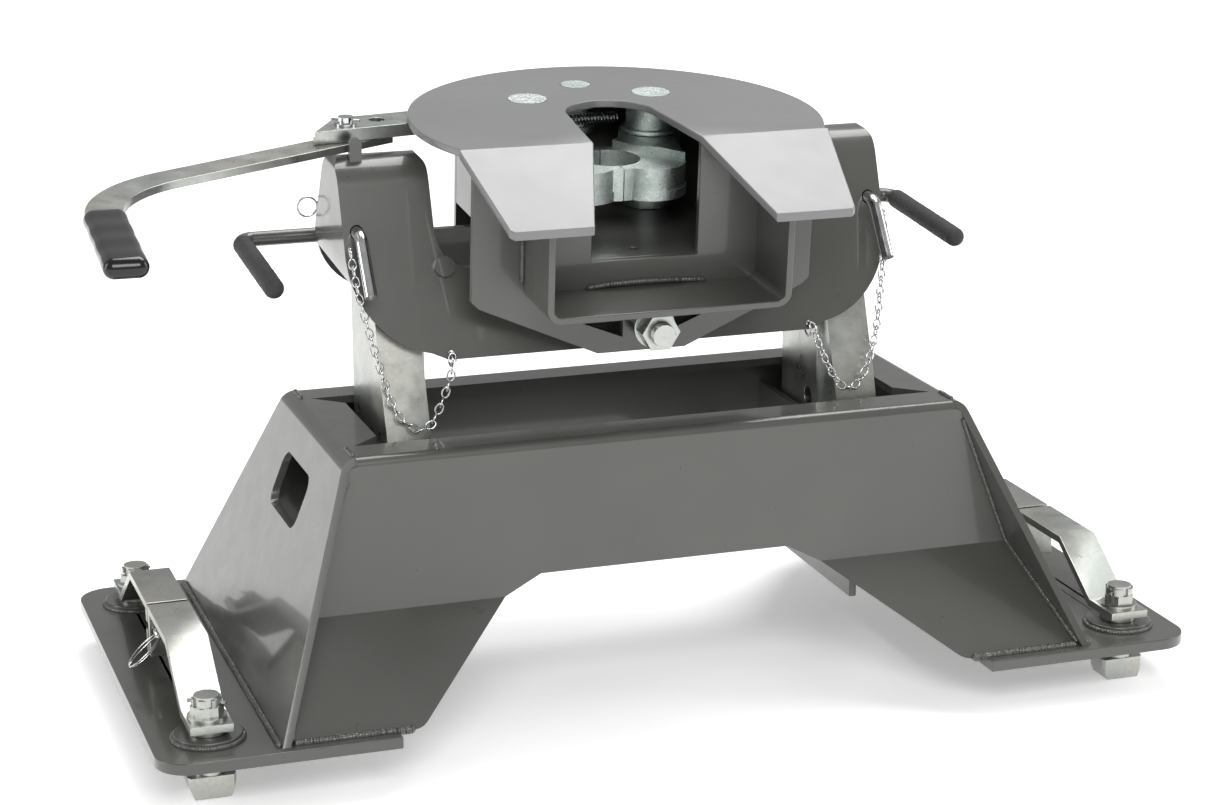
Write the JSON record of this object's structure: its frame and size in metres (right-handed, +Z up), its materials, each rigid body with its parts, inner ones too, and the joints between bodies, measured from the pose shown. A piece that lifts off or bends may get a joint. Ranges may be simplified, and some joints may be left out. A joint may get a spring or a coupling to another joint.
{
  "type": "fifth wheel hitch",
  "caption": "Fifth wheel hitch: arched base on quarter-turn feet, pitching saddle on pivot posts, rolling head with a skid plate and lever-worked locking jaws.",
  "frame": {"origin": "on the bed surface, midway between the four lock feet", "axes": "+Z up, square to the bed; +X across the truck along the saddle; the kingpin comes in from -Y"},
  "size_m": [0.9045, 0.4534, 0.4939],
  "materials": {
    "grey_paint": "glossy warm dark grey powder coat",
    "skid_paint": "satin mid grey powder coat",
    "zinc_plate": "bright zinc plate with faint green and yellow tints",
    "cast_zinc": "zinc plated steel with a cast grain",
    "bright_wire": "bright nickel plate",
    "spring_steel": "oiled spring steel",
    "black_bushing": "matte black polymer",
    "foam_grip": "matte black foam",
    "vinyl_grip": "glossy black dipped vinyl"
  },
  "bodies": {
    "base": {"base_front_panel": "grey_paint", "base_rear_panel": "grey_paint", "base_end_plate_left": "grey_paint", "base_end_plate_right": "grey_paint", "foot_plate_left": "grey_paint", "foot_plate_right": "grey_paint", "foot_discs": "grey_paint", "post_sockets": "grey_paint", "post_left": "zinc_plate", "post_right": "zinc_plate", "post_bolts": "zinc_plate", "post_nuts": "zinc_plate", "pivot_shafts": "zinc_plate", "pivot_bushes": "black_bushing"},
    "lock_front_left": {"lock_stud_front_left": "zinc_plate", "lock_handle_front_left": "zinc_plate", "lock_nut_front_left": "zinc_plate", "lock_clip_left": "bright_wire"},
    "lock_rear_left": {"lock_stud_rear_left": "zinc_plate", "lock_handle_rear_left": "zinc_plate", "lock_nut_rear_left": "zinc_plate"},
    "lock_front_right": {"lock_stud_front_right": "zinc_plate", "lock_handle_front_right": "zinc_plate", "lock_nut_front_right": "zinc_plate", "lock_clip_right": "bright_wire"},
    "lock_rear_right": {"lock_stud_rear_right": "zinc_plate", "lock_handle_rear_right": "zinc_plate", "lock_nut_rear_right": "zinc_plate"},
    "saddle": {"saddle_front_plate": "grey_paint", "saddle_rear_plate": "grey_paint", "saddle_end_plate_left": "grey_paint", "saddle_end_plate_right": "grey_paint", "carry_handles": "grey_paint", "carry_grips": "foam_grip", "saddle_pins": "bright_wire", "saddle_pin_clips": "bright_wire", "chain_left": "bright_wire", "chain_right": "bright_wire", "saddle_stop_bolt": "grey_paint", "handle_stop": "grey_paint"},
    "head": {"skid_plate": "skid_paint", "head_front_channel": "grey_paint", "head_front_hanger": "grey_paint", "head_rear_hanger": "grey_paint", "head_side_plates": "grey_paint", "head_floor": "grey_paint", "centre_bolt": "zinc_plate", "centre_nut": "zinc_plate", "jaw_pins": "cast_zinc", "jaw_spacers": "cast_zinc", "handle_pivot_pin": "cast_zinc", "jaw_spring": "spring_steel"},
    "jaw_left": {"jaw_left": "cast_zinc"},
    "jaw_right": {"jaw_right": "cast_zinc"},
    "jaw_handle": {"handle_bracket": "zinc_plate", "handle_bar": "zinc_plate", "handle_grip": "vinyl_grip", "handle_clevis_pin": "bright_wire", "handle_cotter": "bright_wire"}
  },
  "joints": [
    {"name": "saddle_pitch", "type": "hinge", "parent": "base", "child": "saddle", "pos_m": [0, 0.046, 0.385], "axis": [-1, 0, 0], "range_deg": [0, 18]},
    {"name": "head_roll", "type": "hinge", "parent": "saddle", "child": "head", "pos_m": [0, 0.05402, 0.29616], "axis": [0, 0.9959, 0.0899], "range_deg": [-0.5, 3]},
    {"name": "handle_swing", "type": "hinge", "parent": "head", "child": "jaw_handle", "pos_m": [0, 0.12362, 0.43719], "axis": [0, 0.0899, -0.9959], "range_deg": [0, 25]},
    {"name": "jaw_left_swing", "type": "hinge", "parent": "head", "child": "jaw_left", "pos_m": [-0.0554, 0.08794, 0.39531], "axis": [0, 0.0899, -0.9959], "range_deg": [0, 20]},
    {"name": "jaw_right_swing", "type": "hinge", "parent": "head", "child": "jaw_right", "pos_m": [0.0554, 0.08794, 0.39531], "axis": [0, -0.0899, 0.9959], "range_deg": [0, 20]},
    {"name": "lock_front_left_turn", "type": "hinge", "parent": "base", "child": "lock_front_left", "pos_m": [-0.393, -0.163, 0.02], "axis": [0, 0, 1], "range_deg": [0, 90]},
    {"name": "lock_rear_left_turn", "type": "hinge", "parent": "base", "child": "lock_rear_left", "pos_m": [-0.393, 0.163, 0.02], "axis": [0, 0, -1], "range_deg": [0, 90]},
    {"name": "lock_front_right_turn", "type": "hinge", "parent": "base", "child": "lock_front_right", "pos_m": [0.393, -0.163, 0.02], "axis": [0, 0, -1], "range_deg": [0, 90]},
    {"name": "lock_rear_right_turn", "type": "hinge", "parent": "base", "child": "lock_rear_right", "pos_m": [0.393, 0.163, 0.02], "axis": [0, 0, 1], "range_deg": [0, 90]}
  ],
  "couplings": [
    {"joint": "jaw_left_swing", "follows": "handle_swing", "ratio": 0.8},
    {"joint": "jaw_right_swing", "follows": "handle_swing", "ratio": 0.8},
    {"joint": "lock_rear_left_turn", "follows": "lock_front_left_turn", "ratio": 1},
    {"joint": "lock_rear_right_turn", "follows": "lock_front_right_turn", "ratio": 1}
  ]
}
